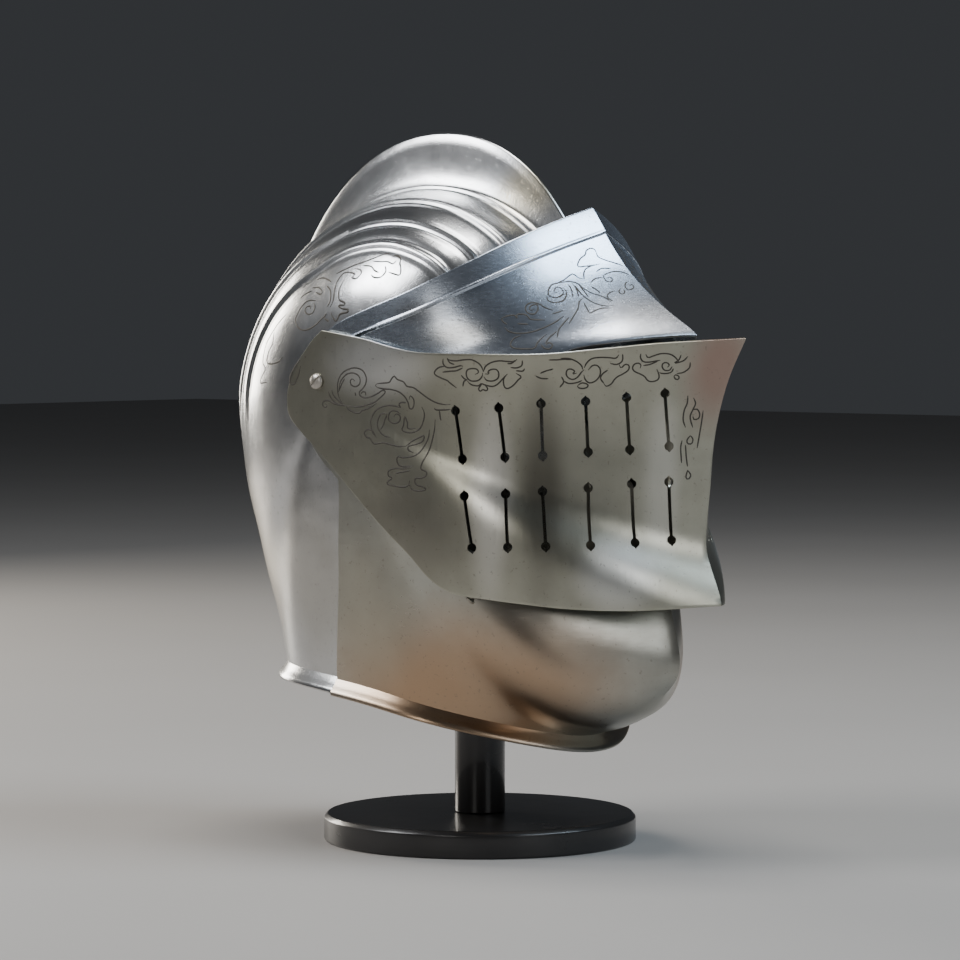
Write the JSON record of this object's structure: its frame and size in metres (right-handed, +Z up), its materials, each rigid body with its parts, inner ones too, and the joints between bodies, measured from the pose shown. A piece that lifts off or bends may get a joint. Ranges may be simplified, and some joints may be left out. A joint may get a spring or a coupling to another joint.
{
  "type": "close helmet on display stand",
  "caption": "Steel close helmet with high comb, pivoted visor, slotted prow ventail and bevor, on a round display stand",
  "frame": {"origin": "centre of the underside of the stand's round base, on the surface it stands on", "axes": "+Z up; the face looks along -Y; +X to the wearer's left"},
  "size_m": [0.2106, 0.3332, 0.3931],
  "materials": {
    "polished_steel": "polished and brushed plate steel",
    "warm_steel": "satin plate steel with a warm tone",
    "screw_steel": "worn screw head",
    "stand_black": "satin black"
  },
  "bodies": {
    "root": {"skull": "polished_steel", "pivot_screw_right": "screw_steel", "pivot_screw_left": "screw_steel", "stand_post": "stand_black", "stand_base": "stand_black"},
    "visor": {"visor": "polished_steel"},
    "bevor": {"bevor": "warm_steel"},
    "ventail": {"ventail": "warm_steel"}
  },
  "joints": [
    {"name": "visor_hinge", "type": "hinge", "parent": "root", "child": "visor", "pos_m": [0, 0.0287, 0.256], "axis": [-1, 0, 0], "range_deg": [0, 50]},
    {"name": "bevor_hinge", "type": "hinge", "parent": "root", "child": "bevor", "pos_m": [0, 0.0287, 0.256], "axis": [-1, 0, 0], "range_deg": [0, 55]},
    {"name": "ventail_hinge", "type": "hinge", "parent": "bevor", "child": "ventail", "pos_m": [0, 0.0287, 0.256], "axis": [-1, 0, 0], "range_deg": [0, 50]}
  ]
}
